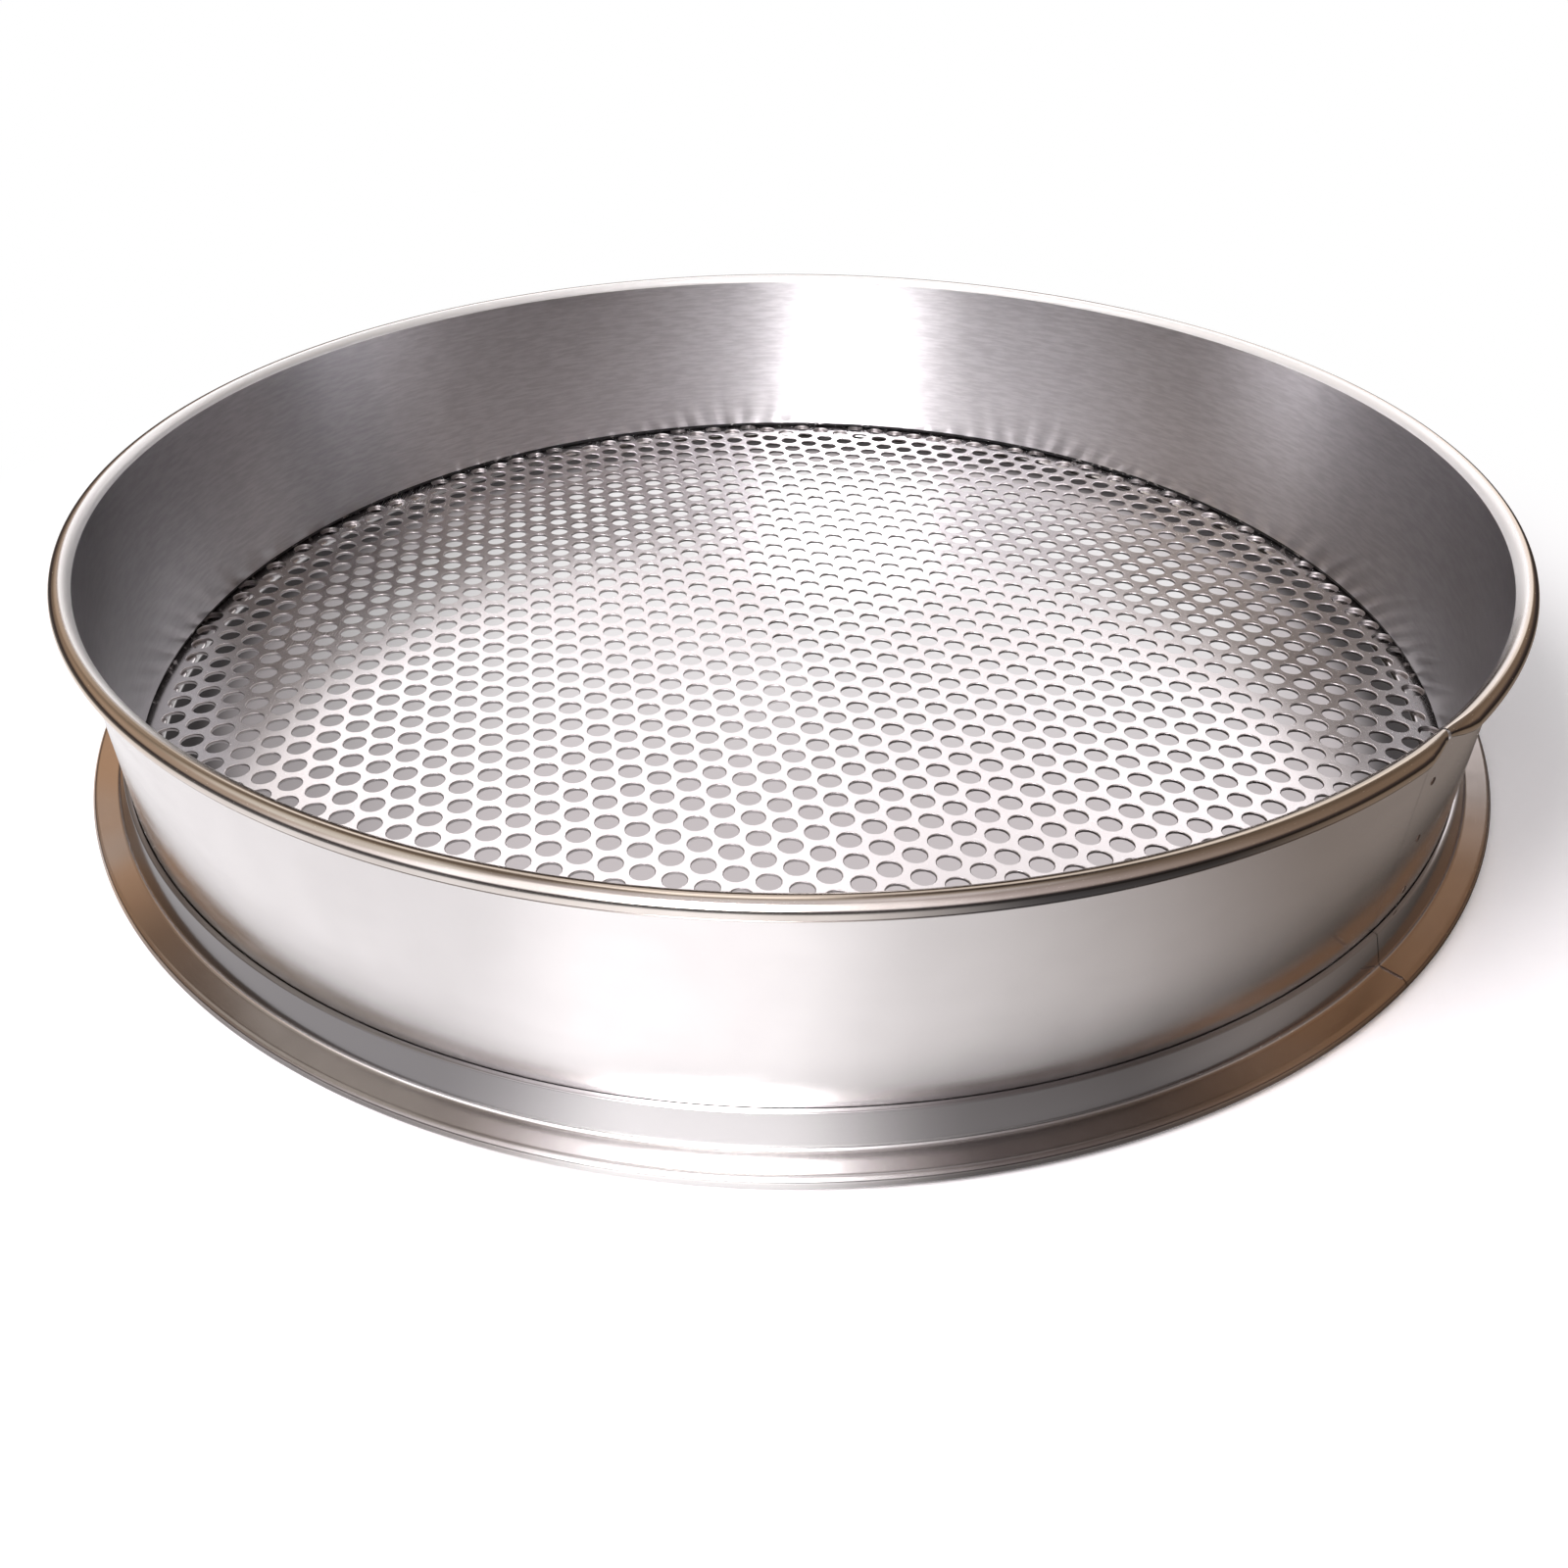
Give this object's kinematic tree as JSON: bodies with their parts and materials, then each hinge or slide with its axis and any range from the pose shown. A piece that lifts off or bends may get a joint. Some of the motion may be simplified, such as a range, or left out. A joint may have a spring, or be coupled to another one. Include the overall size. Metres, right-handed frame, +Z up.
{
  "type": "tamis drum sieve",
  "caption": "Shallow round drum sieve: polished sheet-metal hoop with a rolled rim, a flat plate full of round holes and a flared foot ring.",
  "frame": {"origin": "centre of the drum on the surface that the foot ring stands on", "axes": "+Z up along the drum's axis, towards the open rim; -Y is the front, and the side seam faces front right"},
  "size_m": [0.3194, 0.3194, 0.0522],
  "materials": {
    "polished_steel": "polished",
    "wire_steel": "drawn",
    "weld_mark": "heat tinted",
    "plate_steel": "satin",
    "ring_steel": "satin"
  },
  "bodies": {
    "root": {"drum_wall": "polished_steel", "rim_wire": "wire_steel", "seam_spot_welds": "weld_mark", "perforated_plate": "plate_steel", "support_ring": "ring_steel", "foot_ring": "polished_steel", "foot_seam_weld": "weld_mark"}
  },
  "joints": []
}
